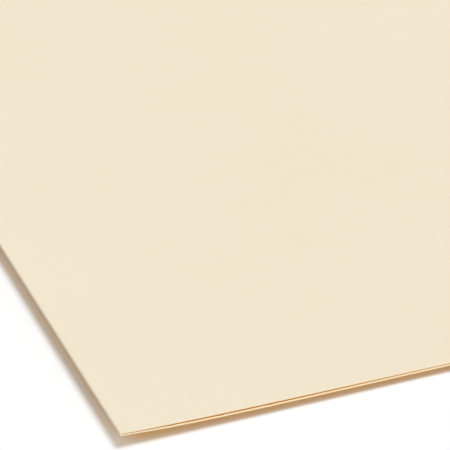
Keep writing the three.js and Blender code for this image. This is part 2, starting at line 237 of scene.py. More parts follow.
class Studio(bpy.types.PropertyGroup):
    """Light and floor"""

    key: amount("Key light", "Strength of the key light", 1.94)
    key_size: angle("Key size", "How wide the key light looks", 30)
    front: amount("Front light", "Strength of the low front light", 1.55)
    front_size: angle("Front size", "How wide the low front light looks", 50)
    fill: share("Fill", "Strength of the even light from all round", 0.32)
    floor: colour("Floor", "How much light the floor returns", (0.86, 0.81, 0.75))
    floor_shade: colour(
        "Floor, close", "The same where the folder's colour is thrown back", (0.65, 0.405, 0.195)
    )
    floor_glow: colour("Floor glow", "Even tone that the camera sees on the floor", (0.22, 0.12, 0.05))
    floor_drop: length("Floor drop", "Space between the folder and the floor", 0.02)
    lens: amount("Lens", "Focal length in millimetres", 310)
    distance: length("Distance", "From the camera to the folder's corner", 450)
    turn: angle("Turn", "Camera azimuth", -21.58)
    height: angle("Height", "Camera elevation", 32.85)


def mix(a, b, t):
    """Straight blend from a, at t = 0, to b, at t = 1."""
    return a + (b - a) * t


def smooth_ramp(start, end, value):
    """Goes from 0 at start to 1 at end as t * t * (3 - 2 * t), with t the share of the way."""
    t = np.clip((value - start) / (end - start), 0, 1)
    return t * t * (3 - 2 * t)


def corner_inset(distance, radius):
    """How far a round corner draws an edge in: the radius less the height of its circle there."""
    rest = radius - np.clip(distance, 0, radius)
    return radius - np.sqrt(radius * radius - rest * rest)


def steps(stops, longest):
    """Rising values through all the stops, with no step longer than the longest one."""
    stops = sorted(stops)
    values = [stops[:1]]
    for start, end in zip(stops, stops[1:]):
        if end - start > 1e-7:
            count = math.ceil((end - start) / longest - 1e-6)
            values.append(np.linspace(start, end, count + 1)[1:])
    return np.concatenate(values)


def half_span(box, axis):
    """Half of a box's length along an axis."""
    return (box[1][axis] - box[0][axis]) / 2


def centre_of(box, axis):
    """The middle of a box along an axis."""
    return (box[0][axis] + box[1][axis]) / 2


def both_ways(values):
    """The values and their opposites."""
    return [*(-np.array(values)), *values]


def cells(values, start, end):
    """Slice of a grid's cells between two of its values."""
    return slice(int(np.abs(values - start).argmin()), int(np.abs(values - end).argmin()))


class ClosedFolder:
    """Outlines of the two leaves, and the levels of their faces, while the folder is closed."""

    def __init__(self, sizes):
        self.s = sizes
        self.fold_x = CREASE_BOX[0].x
        self.scores = self.fold_x + sizes.score_step * np.arange(1, 4)
        crease_round = half_span(CREASE_BOX, Z)
        self.axis_x = self.fold_x + crease_round
        self.axis_z = CREASE_BOX[0].z + crease_round
        self.start_low = self.axis_z - sizes.fold_gap / 2 - sizes.board
        self.start_x = BACK_BOX[0].x
        self.leaf_edge = FRONT_BOX[1].x
        self.tab_edge = BACK_BOX[1].x
        self.ply_x = TAB_PLY_BOX[0].x
        self.far_y = BACK_BOX[0].y
        self.near_y = BACK_BOX[1].y
        self.seat_start = PATCH_BOX[0].x - sizes.seat_margin
        self.seat_end = PATCH_BOX[1].x + sizes.seat_margin
        self.seat_y = PATCH_BOX[0].y - sizes.seat_run
        self.rear_face = sizes.board
        self.front_face = FRONT_PATCH_BOX[1].z + sizes.glue
        self.bulge = self.front_face - self.rear_face - sizes.leaf_gap

    def back_edge(self, y):
        """The leaf's edge moved out to the tab's by one smooth ramp, less the round corners."""
        tab_end = self.far_y + self.s.tab_length
        on_tab = 1 - smooth_ramp(tab_end - self.s.tab_shoulder, tab_end, y)
        return mix(self.leaf_edge, self.tab_edge, on_tab) - self.corners(y)

    def front_edge(self, y):
        """The leaf's straight edge less the round corners."""
        return self.leaf_edge - self.corners(y)

    def corners(self, y):
        """What the round corners at both ends take off the open edge."""
        radius = self.s.corner
        return corner_inset(y - self.far_y, radius) + corner_inset(self.near_y - y, radius)

    def back_low(self, x, y):
        """A level that one smooth ramp sinks to the table, and three rises on it.

        They are the bend up to the fold, as a fourth power, the slit, as one smooth ramp, and the
        open edge's curl, as a square.
        """
        s = self.s
        nearness = smooth_ramp(self.far_y + s.far_level, self.seat_y, y)
        sink_start = mix(self.fold_x + s.lift_held, self.start_x, nearness)
        sink_end = mix(self.fold_x + s.reach_far, self.seat_start, nearness)
        step = s.slit - s.fold_gap
        level = (self.start_low - s.rise - step) * (1 - smooth_ramp(sink_start, sink_end, x))
        bent = np.clip(1 - (x - self.axis_x) / s.rise_run, 0, 1) ** 4
        curled = np.clip((x - self.seat_end) / (self.tab_edge - self.seat_end), 0, None)
        return level + s.rise * bent + step * (1 - self.slit_opening(x)) + s.edge_curl * curled**2

    def slit_opening(self, x):
        """One smooth ramp from the fold's axis to where the slit has its full width."""
        return smooth_ramp(self.axis_x, self.fold_x + self.s.slit_open, x)

    def wholeness(self, x):
        """One smooth ramp from the pressed crease to where the board is whole."""
        return smooth_ramp(self.axis_x, self.axis_x + self.s.press_run, x)

    def thickness(self, x):
        """The board's thickness, which is pressed in the crease."""
        return self.s.board * mix(self.s.pressed, 1, self.wholeness(x))

    def creased(self, x, places):
        """A bell curve at each of the places where the board is scored or folded."""
        return sum(np.exp(-(((x - place) / self.s.score_width) ** 2)) for place in places)

    def scored(self, x):
        """Depth of the score lines."""
        return self.s.score_depth * self.creased(x, self.scores)

    def front_low(self, x, y):
        """The back leaf's inner face, plus the slit, the room for the second layers and the bulge."""
        s = self.s
        closing = smooth_ramp(self.fold_x + s.slit_held, self.fold_x + s.slit_closed, x)
        slit = mix(mix(s.fold_gap, s.slit, self.slit_opening(x)), s.leaf_gap, closing)
        apart = 2 * (s.glue + s.ply) * smooth_ramp(self.seat_end, self.ply_x - s.ply_margin, x)
        climb = smooth_ramp(self.start_x, self.seat_start, x)
        nearness = smooth_ramp(self.far_y + s.bulge_level, self.seat_y, y)
        return self.back_low(x, y) + s.board + slit + apart + self.bulge * climb * nearness

    def painted_glow(self, x, y):
        """Painted glow beside the slit: a bell curve of the distance from the far edge, fading out by one
        smooth ramp past the slit.
        """
        slit_end = self.fold_x + self.s.slit_closed
        kept = 1 - smooth_ramp(slit_end, slit_end + self.s.glow_fade, x)
        return kept * np.exp(-(((y - self.far_y) / self.s.glow_reach) ** 2))

    def glow_share(self, x, y, places):
        """Share of the painted glow on an inner face: along the slit and the creases."""
        return np.maximum(self.painted_glow(x, y), self.s.crease_glow * self.creased(x, places))

    def cut_tone(self, x):
        """Share of the cut edge's colour, partly painted glow, which is least in the crease."""
        return mix(self.s.crease_cut, 1, self.wholeness(x))

    def front_cut_tone(self, x):
        """The same on the front leaf, where less of the painted glow is laid on."""
        return self.s.front_cut * self.cut_tone(x)

    def rows(self):
        """Places along the fold where the grids have a row, close together in corners and shoulder."""
        s = self.s
        bend = s.corner * (1 - np.cos(np.linspace(0, np.pi / 2, 13)))
        tab_end = self.far_y + s.tab_length
        shoulder = tab_end - s.tab_shoulder * np.linspace(0, 1, 17)
        return steps([*(self.far_y + bend), *(self.near_y - bend), *shoulder], BOARD_STEP)

    def leaf_grid(self, edge, scored):
        """Rows along the fold, and columns from its axis to the edge. The outer ones bend with the edge."""
        s = self.s
        y = self.rows()
        near_fold = [self.axis_x, self.start_x, *(self.fold_x + np.linspace(1, 7, 7) * MM)]
        near_fold += list(self.axis_x + s.score_width * np.linspace(0, 2, 6)[1:])
        stops = [*near_fold, self.fold_x + s.slit_closed, self.seat_start, self.seat_end, self.ply_x]
        if scored:
            offsets = s.score_width * np.linspace(-2.4, 2.4, 9)
            stops += list((self.scores[:, None] + offsets).ravel())
        inner = steps(stops, BOARD_STEP)
        outer = np.append(np.linspace(0, 0.96, 10)[1:], [0.975, 0.988, 1])
        inner_x = np.broadcast_to(inner, (len(y), len(inner)))
        x = np.concatenate([inner_x, mix(self.ply_x, edge(y)[:, None], outer)], axis=1)
        return x, np.broadcast_to(y[:, None], x.shape)


def outline(block):
    """Grid numbers round a block of the grid, once round, with the block on the left."""
    return np.concatenate([block[0, :-1], block[:-1, -1], block[-1, :0:-1], block[:0:-1, 0]])


def side_values(block, sides):
    """For each step of the outline, the value of its side: first row, last column and so on."""
    rows, columns = block.shape
    return np.repeat(sides, [columns - 1, rows - 1, columns - 1, rows - 1])


def drawn_in(u, v, radius):
    """How each point of a closed loop moves to where the lines on the left of its path cross.

    Each line runs beside a step of the loop at that step's radius. Where two steps are nearly in
    line, the move is the mean of the two. The larger of the two radii is given too.
    """
    du, dv = np.roll(u, -1) - u, np.roll(v, -1) - v
    size = np.hypot(du, dv)
    next_normal = np.stack([-dv / size, du / size])
    last_normal = np.roll(next_normal, 1, axis=1)
    last_radius = np.roll(radius, 1)
    cross = last_normal[0] * next_normal[1] - last_normal[1] * next_normal[0]
    turning = np.abs(cross) > IN_LINE
    safe = np.where(turning, cross, 1)
    met_u = (last_radius * next_normal[1] - radius * last_normal[1]) / safe
    met_v = (radius * last_normal[0] - last_radius * next_normal[0]) / safe
    mean_u, mean_v = (last_normal * last_radius + next_normal * radius) / 2
    move_u, move_v = np.where(turning, met_u, mean_u), np.where(turning, met_v, mean_v)
    return move_u, move_v, np.maximum(radius, last_radius)


def sheet_mesh(name, u, v, place, thickness, rounding, holes=(), painted_glow=0.0, cut=np.ones_like):
    """Closed sheet with rounded edges, over a grid of two parameters.

    place(u, v, s) gives the points at the share s of the thickness, from the inner face at 0 to the
    outer one at 1. u and v are lengths. Along the outline, and round each hole, the face's edge is
    drawn in by the rounding r. At the angle a the wall stands in by r * (1 - sin(a)) and has gone
    down by r * (1 - cos(a)), for a from 0 to 90 degrees, and it goes back in the same way below.
    rounding is one value, or one for each side: first row, last column, last row, first column.
    A hole is a pair of slices of the grid's rows and columns, whose cells are left out.
    The share of painted glow is given for each point of the outer face and each point of the inner one.
    cut(x) gives how much of the cut edge's colour, partly painted glow, the walls have.
    """
    grid = np.arange(u.size).reshape(u.shape)
    sides = np.broadcast_to(np.array(rounding, float), (4,))
    thickness = np.broadcast_to(thickness, u.shape).ravel()
    open_cells = np.zeros((u.shape[0] - 1, u.shape[1] - 1), bool)
    loops = [(outline(grid), side_values(grid, sides))]
    for rows, columns in holes:
        open_cells[rows, columns] = True
        border = outline(grid[rows.start : rows.stop + 1, columns.start : columns.stop + 1])[::-1]
        loops.append((border, np.full(len(border), sides.max())))
    face_u, face_v = u.ravel().copy(), v.ravel().copy()
    rings, quads = [], []
    count = 2 * u.size
    angles = np.radians([30, 60, 90])
    wall = [*((a, True) for a in angles), *((a, False) for a in angles[::-1])]
    for loop, radius in loops:
        start_u, start_v = u.ravel()[loop], v.ravel()[loop]
        move_u, move_v, depth = drawn_in(start_u, start_v, radius)
        face_u[loop] += move_u
        face_v[loop] += move_v
        depth = np.minimum(depth / thickness[loop], MOST_ROUND)
        ids = [loop]
        for turned, upper in wall:
            down = depth * (1 - math.cos(turned))
            inward = 1 - math.sin(turned)
            part = 1 - down if upper else down
            rings.append(place(start_u + move_u * inward, start_v + move_v * inward, part))
            ids.append(np.arange(count, count + len(loop)))
            count += len(loop)
        ids.append(loop + u.size)
        for above, below in zip(ids, ids[1:]):
            quads.append(np.stack([above, below, np.roll(below, -1), np.roll(above, -1)], axis=1))
    kept = ~open_cells.ravel()
    corners = [grid[:-1, :-1], grid[:-1, 1:], grid[1:, 1:], grid[1:, :-1]]
    top = np.stack([corner.ravel() for corner in corners], axis=1)[kept]
    quads += [top, top[:, ::-1] + u.size]
    ones = np.ones(u.size)
    points = np.concatenate([place(face_u, face_v, ones), place(face_u, face_v, ones * 0), *rings])
    on_wall = np.arange(len(points)) >= 2 * u.size
    # Masks of the cut edges' colour, partly painted glow, and of the painted glow on the faces
    masks = {"cut_edge_and_glow": on_wall * cut(points[:, 0]), "painted_glow": np.zeros(len(points))}
    masks["painted_glow"][: 2 * u.size] = np.ravel(painted_glow)
    mesh = mesh_from(name, points, np.concatenate(quads), masks)
    borders = [loop for loop, _ in loops]
    mark_sharp(mesh, [*borders, *(loop + u.size for loop in borders)])
    return mesh


def mesh_from(name, points, quads, masks):
    """Mesh of the quads and the points that they use, with a value of each mask for each point."""
    used, quads = np.unique(quads, return_inverse=True)
    mesh = bpy.data.meshes.new(name)
    mesh.from_pydata(points[used], [], quads.reshape(-1, 4))
    mesh.shade_smooth()
    for mask, values in masks.items():
        attribute = mesh.attributes.new(mask, "FLOAT", "POINT")
        attribute.data.foreach_set("value", values[used].astype(np.float32))
    numbers = mesh.attributes.new("grid_number", "INT", "POINT")
    numbers.data.foreach_set("value", used.astype(np.int32))
    return mesh


def edge_key(a, b):
    """One number for the edge between two numbered points, the same from either end."""
    return np.minimum(a, b).astype(np.int64) * 10**8 + np.maximum(a, b)


def mark_sharp(mesh, loops):
    """Keeps the shading of the faces apart from that of the walls along the given closed loops."""
    numbers = np.zeros(len(mesh.vertices), np.int32)
    mesh.attributes["grid_number"].data.foreach_get("value", numbers)
    ends = np.zeros(2 * len(mesh.edges), np.int32)
    mesh.edges.foreach_get("vertices", ends)
    edge_keys = edge_key(*numbers[ends].reshape(-1, 2).T)
    sharp_keys = np.concatenate([edge_key(loop, np.roll(loop, -1)) for loop in loops])
    sharp = mesh.attributes.new("sharp_edge", "BOOLEAN", "EDGE")
    sharp.data.foreach_set("value", np.isin(edge_keys, sharp_keys))
    mesh.attributes.remove(mesh.attributes["grid_number"])


def finish(context, slot):
    """The material that dresses a slot, made on its first use."""
    name, build = DRESSING[slot]
    return bpy.data.materials.get(name) or build(name, context.scene.finishes)


def add_piece(context, mesh, slot):
    """Puts a finished mesh into the scene as a piece of its own name."""
    piece = bpy.data.objects.new(mesh.name, mesh)
    context.scene.collection.objects.link(piece)
    mesh.materials.append(finish(context, slot))
    return piece


def stand_for(piece, node, body):
    """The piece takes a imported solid's place and rides on its body, and may not stray from that solid."""
    if body:
        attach(piece, body)
    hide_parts(node)
    points = np.zeros(3 * len(piece.data.vertices))
    piece.data.vertices.foreach_get("co", points)
    points = points.reshape(-1, 3)
    low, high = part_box(node)
    stray = max((np.array(low) - points.min(0)).max(), (points.max(0) - np.array(high)).max())
    if stray > MOST_STRAY:
        raise RuntimeError(f"{piece.name} stands {stray / MM:.2f} mm outside {node}")


def feed(tree, node, inputs):
    """Gives each of a node's inputs its plain value, or links it to a socket."""
    for name, source in inputs.items():
        if isinstance(source, bpy.types.NodeSocket):
            tree.links.new(source, node.inputs[name])
        else:
            node.inputs[name].default_value = source


def add_node(tree, kind, inputs=None, **settings):
    """New shader node with the given settings and inputs."""
    node = tree.nodes.new("ShaderNode" + kind)
    for name, value in settings.items():
        setattr(node, name, value)
    feed(tree, node, inputs or {})
    return node


def calculate(tree, operation, first, second):
    """One step of arithmetic on values."""
    return add_node(tree, "Math", {0: first, 1: second}, operation=operation).outputs[0]


def weighted_sum(tree, *parts):
    """Sum of values, each times its weight."""
    products = [calculate(tree, "MULTIPLY", value, weight) for value, weight in parts]
    return reduce(partial(calculate, tree, "ADD"), products)


def noise(tree, vector, factors, detail=2.0, distortion=0.0):
    """Cloudy noise between 0 and 1. Along each axis a feature is 1 mm long, divided by the factor."""
    per_metre = [factor / MM for factor in factors]
    stretched = add_node(tree, "VectorMath", {0: vector, 1: per_metre}, operation="MULTIPLY")
    inputs = {"Vector": stretched.outputs[0], "Scale": 1.0, "Detail": detail, "Distortion": distortion}
    return add_node(tree, "TexNoise", inputs).outputs["Fac"]


def spread(tree, value, low, high, start=0.0, end=1.0):
    """Stretches the range from low to high over start to end, and stops there."""
    inputs = {"Value": value, "From Min": low, "From Max": high, "To Min": start, "To Max": end}
    return add_node(tree, "MapRange", inputs).outputs["Result"]


def blend_colours(tree, part, first, second):
    """First colour where the part is 0, second where it is 1."""
    inputs = {"Factor": part, "A": opaque(first), "B": opaque(second)}
    return add_node(tree, "Mix", inputs, data_type="RGBA").outputs["Result"]


def opaque(tone):
    """A plain colour with its alpha of 1, or a socket as it is."""
    return tone if isinstance(tone, bpy.types.NodeSocket) else (*tone, 1.0)


def mask_value(tree, name):
    """Value of a mask that the mesh carries."""
    return add_node(tree, "Attribute", attribute_name=name).outputs["Fac"]


def raised(tree, height, distance):
    """Normal of a surface raised by the height, where a height of 1 is the given distance."""
    return add_node(tree, "Bump", {"Distance": distance, "Height": height}).outputs["Normal"]


def new_group(name, values, results):
    """Node group that takes a vector and the named values, and gives the named results."""
    tree = bpy.data.node_groups.new(name, "ShaderNodeTree")
    tree.interface.new_socket(name="Vector", in_out="INPUT", socket_type="NodeSocketVector")
    for value, default in values.items():
        socket = tree.interface.new_socket(name=value, in_out="INPUT", socket_type="NodeSocketFloat")
        socket.default_value = default
    for result in results:
        tree.interface.new_socket(name=result, in_out="OUTPUT", socket_type="NodeSocketFloat")
    return tree, tree.nodes.new("NodeGroupInput").outputs, tree.nodes.new("NodeGroupOutput")


def paper_group(name):
    """Paper made of pressed fibres: a slow cloud, a finer mottle, and worm-like fibres for the height."""
    tree, given, made = new_group(name, {"Mottle": 0.5}, ["Tone", "Height"])
    cloud = noise(tree, given["Vector"], (0.022, 0.022, 0.022), detail=3.0)
    mottle = noise(tree, given["Vector"], (0.9, 0.9, 0.9), detail=4.0, distortion=0.6)
    fibre = noise(tree, given["Vector"], (5.0, 7.0, 6.0), detail=3.0, distortion=2.2)
    total = weighted_sum(tree, (cloud, 1.0), (mottle, given["Mottle"]), (fibre, 0.25))
    most = calculate(tree, "ADD", given["Mottle"], 1.25)
    tone = spread(tree, calculate(tree, "DIVIDE", total, most), 0.3, 0.7)
    feed(tree, made, {"Tone": tone, "Height": weighted_sum(tree, (fibre, 1.0), (mottle, 0.5))})
    return tree


def cut_group(name):
    """Cut edge of board: thin layers along the edge, broken up by torn fibres."""
    tree, given, made = new_group(name, {"Edge": 0.0}, ["Mask", "Height"])
    layers = noise(tree, given["Vector"], (0.8, 0.8, 22.0))
    torn = noise(tree, given["Vector"], (9.0, 9.0, 9.0), detail=3.0)
    rough = weighted_sum(tree, (layers, 0.7), (torn, 0.3))
    for result, value in (("Mask", spread(tree, rough, 0.25, 0.6)), ("Height", rough)):
        feed(tree, made, {result: calculate(tree, "MULTIPLY", value, given["Edge"])})
    return tree


def rolled_group(name):
    """Rolled tinplate: long fine lines along the strip, with faint dull clouds and a few short scratches."""
    tree, given, made = new_group(name, {}, ["Tone", "Dull", "Height"])
    lines = noise(tree, given["Vector"], (0.16, 15.0, 15.0), detail=3.0)
    clouds = noise(tree, given["Vector"], (0.25, 0.4, 0.4), detail=3.0)
    scratched = noise(tree, given["Vector"], (1.1, 7.0, 7.0), detail=1.0, distortion=1.5)
    tone = weighted_sum(tree, (lines, 1.0), (clouds, 0.4))
    dull = weighted_sum(tree, (clouds, 0.7), (lines, 0.5))
    height = calculate(tree, "SUBTRACT", lines, spread(tree, scratched, 0.68, 0.78))
    feed(tree, made, {"Tone": tone, "Dull": dull, "Height": height})
    return tree


def place_group(tree, name, build, **values):
    """A node that shows a group, built on its first use, fed with the piece's own coordinates."""
    group = bpy.data.node_groups.get(name) or build(name)
    place = add_node(tree, "TexCoord").outputs["Object"]
    return add_node(tree, "Group", {"Vector": place, **values}, node_tree=group).outputs


def blank_material(name):
    """New material with its Principled shader."""
    material = bpy.data.materials.new(name)
    material.use_nodes = True
    return material, material.node_tree, material.node_tree.nodes["Principled BSDF"]


def board_material(name, finishes):
    """Matt manila board, with a warmer colour on the cut edges, partly painted glow, and painted warm glow
    in the slit and along the creases.
    """
    material, tree, shader = blank_material(name)
    paper = place_group(tree, "Paper", paper_group, Mottle=0.35)
    cut = place_group(tree, "Cut edge", cut_group, Edge=mask_value(tree, "cut_edge_and_glow"))
    face = blend_colours(tree, paper["Tone"], finishes.board_dark, finishes.board)
    # Painted warm glow on the inner faces beside the slit and along the creases
    face = blend_colours(tree, mask_value(tree, "painted_glow"), face, finishes.painted_glow)
    # Cut edges: the board's warmer edge colour, partly painted glow
    whole = blend_colours(tree, cut["Mask"], face, finishes.cut_edge_and_glow)
    height = weighted_sum(tree, (paper["Height"], 1.0), (cut["Height"], 3.0))
    feed(tree, shader, {"Base Color": whole, "Normal": raised(tree, height, 0.004 * MM)})
    feed(tree, shader, {"Roughness": 0.82, "Specular IOR Level": 0.25})
    return material


def patch_material(name, finishes):
    """Thinner, slightly greyer paper with a coarser fibre."""
    material, tree, shader = blank_material(name)
    paper = place_group(tree, "Paper", paper_group, Mottle=0.9)
    dark = [PATCH_DARKEST * part for part in finishes.patch]
    face = blend_colours(tree, paper["Tone"], dark, finishes.patch)
    feed(tree, shader, {"Base Color": face, "Normal": raised(tree, paper["Height"], 0.012 * MM)})
    feed(tree, shader, {"Roughness": 0.75, "Specular IOR Level": 0.3})
    return material


def tin_material(name, finishes):
    """Satin tinplate with rolling lines along the strip."""
    material, tree, shader = blank_material(name)
    rolled = place_group(tree, "Rolled tin", rolled_group)
    dark = [TIN_DARKEST * part for part in finishes.tin]
    tone = blend_colours(tree, spread(tree, rolled["Tone"], 0.4, 1.0), dark, finishes.tin)
    feed(tree, shader, {"Base Color": tone, "Normal": raised(tree, rolled["Height"], 0.006 * MM)})
    feed(tree, shader, {"Roughness": spread(tree, rolled["Dull"], 0.3, 0.9, 0.24, 0.42), "Metallic": 1.0})
    return material


DRESSING = {
    "folder_board": ("manila_board", board_material),
    "patch_paper": ("patch_stock", patch_material),
    "tinplate": ("rolled_tin", tin_material),
}


class FOLDER_OT_leaves(bpy.types.Operator):
    """Makes the back leaf, with its tab and score lines, and the front leaf over it"""

    bl_idname = "folder.leaves"
    bl_label = "Leaves"

    def execute(self, context):
        sizes = context.scene.board_sizes
        folder = ClosedFolder(sizes)
        seam = sizes.edge_round * SEAM_SHARE
        rounding = (sizes.edge_round, sizes.edge_round, sizes.edge_round, seam)

        def back(x, y, part):
            """The back leaf's inner face lowered by the rest of the board, less the score lines."""
            inner = folder.back_low(x, y) + sizes.board
            return np.stack([x, y, inner - folder.thickness(x) * (1 - part) - folder.scored(x)], axis=-1)

        def front(x, y, part):
            """The front leaf's inner face raised by the share of the board."""
            return np.stack([x, y, folder.front_low(x, y) + folder.thickness(x) * part], axis=-1)

        for name, node, body, place, edge, inner, cut in [
            ("back_board", "back_leaf", "back", back, folder.back_edge, 0, folder.cut_tone),
            ("front_board", "front_leaf", "front", front, folder.front_edge, 1, folder.front_cut_tone),
        ]:
            scores = folder.scores if body == "back" else []
            x, y = folder.leaf_grid(edge, body == "back")
            # Painted glow on the inner face only
            painted_glow = np.zeros((2, x.size))
            painted_glow[inner] = folder.glow_share(x, y, [folder.axis_x, *scores]).ravel()
            mesh = sheet_mesh(name, x, y, place, sizes.board, rounding, painted_glow=painted_glow, cut=cut)
            stand_for(add_piece(context, mesh, "folder_board"), node, body)
        return {"FINISHED"}


class FOLDER_OT_fold_bend(bpy.types.Operator):
    """Makes the bent board that joins the two leaves"""

    bl_idname = "folder.fold_bend"
    bl_label = "Fold bend"

    def execute(self, context):
        sizes = context.scene.board_sizes
        folder = ClosedFolder(sizes)
        thickness = sizes.board * sizes.pressed
        radius = sizes.fold_gap / 2 + thickness
        seam = sizes.edge_round * SEAM_SHARE

        def bend(u, v, part):
            """Half ring: u is the arc's length on the outer face, from below the axis round to above it."""
            turned = 1.5 * np.pi - u / radius
            reach = radius - thickness * (1 - part)
            x = folder.axis_x + reach * np.cos(turned)
            return np.stack([x, v, folder.axis_z + reach * np.sin(turned)], axis=-1)

        u, v = np.meshgrid(np.linspace(0, np.pi * radius, 25), folder.rows())
        rounding = (sizes.edge_round, seam, sizes.edge_round, seam)
        fold = folder.axis_x + 0 * u
        # Painted glow along the crease, on the inner face only
        painted_glow = np.stack([0 * u, folder.glow_share(fold, v, [folder.axis_x])])
        mesh = sheet_mesh(
            "fold_bend", u, v, bend, thickness, rounding, painted_glow=painted_glow, cut=folder.cut_tone
        )
        piece = add_piece(context, mesh, "folder_board")
        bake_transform(piece)
        stand_for(piece, "fold_crease", None)
        return {"FINISHED"}


class FOLDER_OT_second_layers(bpy.types.Operator):
    """Makes the second layer of board along the tab and along the front leaf's open edge"""

    bl_idname = "folder.second_layers"
    bl_label = "Second layers"

    def execute(self, context):
        sizes = context.scene.board_sizes
        folder = ClosedFolder(sizes)

        def on_back(x, y, part):
            """On the back leaf's inner face, a film of glue above it."""
            low = folder.back_low(x, y) + sizes.board + sizes.glue
            return np.stack([x, y, low + sizes.ply * part], axis=-1)

        def under_front(x, y, part):
            """Under the front leaf's inner face, a film of glue below it."""
            high = folder.front_low(x, y) - sizes.glue
            return np.stack([x, y, high - sizes.ply * (1 - part)], axis=-1)

        rows = folder.rows()
        for name, node, body, edge, place in [
            ("tab_layer", "back_tab_ply", "back", folder.back_edge, on_back),
            ("edge_layer", "front_edge_ply", "front", folder.front_edge, under_front),
        ]:
            x = mix(folder.ply_x, edge(rows)[:, None], np.linspace(0, 1, 11))
            y = np.broadcast_to(rows[:, None], x.shape)
            mesh = sheet_mesh(name, x, y, place, sizes.ply, sizes.edge_round)
            stand_for(add_piece(context, mesh, "folder_board"), node, body)
        return {"FINISHED"}


class FastenerPlace:
    """Where a fastener stands: on the back leaf, or turned over under the front leaf."""

    def __init__(self, side, folder):
        self.side = side
        self.body = "back" if side == "rear" else "front"
        self.up = 1 if side == "rear" else -1
        self.face = folder.rear_face if side == "rear" else folder.front_face
        self.middle_y = centre_of(BAR_BOX, Y)
        self.ground = folder.rear_face

    def level(self, height):
        """Height above the leaf of a level that was read from the rear fastener."""
        return height - self.ground

    def points(self, x, y, z):
        """From the fastener's own axes to the folder's: a half turn about x for the front one."""
        x, y, z = np.broadcast_arrays(x, y, z)
        return np.stack([x, self.middle_y + self.up * y, self.face + self.up * z], axis=-1)


def both_sides(context):
    """The rear and the front fastener's place."""
    folder = ClosedFolder(context.scene.board_sizes)
    return [FastenerPlace("rear", folder), FastenerPlace("front", folder)]


def riser_place(sizes):
    """From the folder's middle to each prong's riser, in the middle of the tinplate."""
    return BASE_BOX[1].x - sizes.tin / 2


class FOLDER_OT_patches(bpy.types.Operator):
    """Makes the paper patches, raised over the strips, with a slit for each riser"""

    bl_idname = "folder.patches"
    bl_label = "Patches"

    def execute(self, context):
        sizes = context.scene.fastener_sizes
        glue = context.scene.board_sizes.glue
        flat, slope = sizes.patch_room, sizes.patch_slope
        hole_x = riser_place(sizes)
        prong = half_span(PRONG_BOX, Y)
        strip = half_span(BASE_BOX, Y)
        half_x = PATCH_BOX[1].x
        half_y = half_span(PATCH_BOX, Y)
        slit_x = sizes.slit / 2
        slit_y = prong + sizes.slit_side

        def over(x, y, end_x, end_y):
            """1 over a strip of the given half sizes, falling to 0 past its clear room."""
            fall_x = smooth_ramp(end_x + flat, end_x + flat + slope, np.abs(x))
            fall_y = smooth_ramp(end_y + flat, end_y + flat + slope, np.abs(y))
            return (1 - fall_x) * (1 - fall_y)

        def paper(stand, x, y, part):
            """Glued to the leaf, and raised over the wide strip and its two necks."""
            wide = over(x, y, hole_x - sizes.neck, strip)
            narrow = over(x, y, hole_x + slit_x, slit_y - flat / 2)
            raise_by = (sizes.tin + glue) * np.maximum(wide, narrow)
            return stand.points(x, y, glue + raise_by + sizes.patch * part)

        past_x = np.array([slit_x, slit_x + flat, slit_x + flat + slope])
        halves_x = [0, hole_x - sizes.neck, hole_x - slit_x, *(hole_x + past_x), half_x]
        halves_y = [0, slit_y, strip + flat, strip + flat + slope, half_y]
        columns = steps(both_ways(halves_x), PATCH_STEPS[0])
        rows = steps(both_ways(halves_y), PATCH_STEPS[1])
        x, y = np.meshgrid(columns, rows)
        holes = [
            (cells(rows, -slit_y, slit_y), cells(columns, side * hole_x - slit_x, side * hole_x + slit_x))
            for side in ENDS.values()
        ]
        for stand in both_sides(context):
            place = partial(paper, stand)
            name = f"{stand.side}_patch_paper"
            mesh = sheet_mesh(name, x, y, place, sizes.patch, sizes.patch_round, holes)
            stand_for(add_piece(context, mesh, "patch_paper"), f"{stand.side}_patch", stand.body)
        return {"FINISHED"}


class FOLDER_OT_strips(bpy.types.Operator):
    """Finishes the two base strips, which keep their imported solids"""

    bl_idname = "folder.strips"
    bl_label = "Base strips"

    def execute(self, context):
        material = finish(context, "tinplate")
        for side in ("rear", "front"):
            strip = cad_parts[f"{side}_base"]
            if not strip.material_slots:
                strip.data.materials.append(material)
            for slot in strip.material_slots:
                slot.material = material
        return {"FINISHED"}


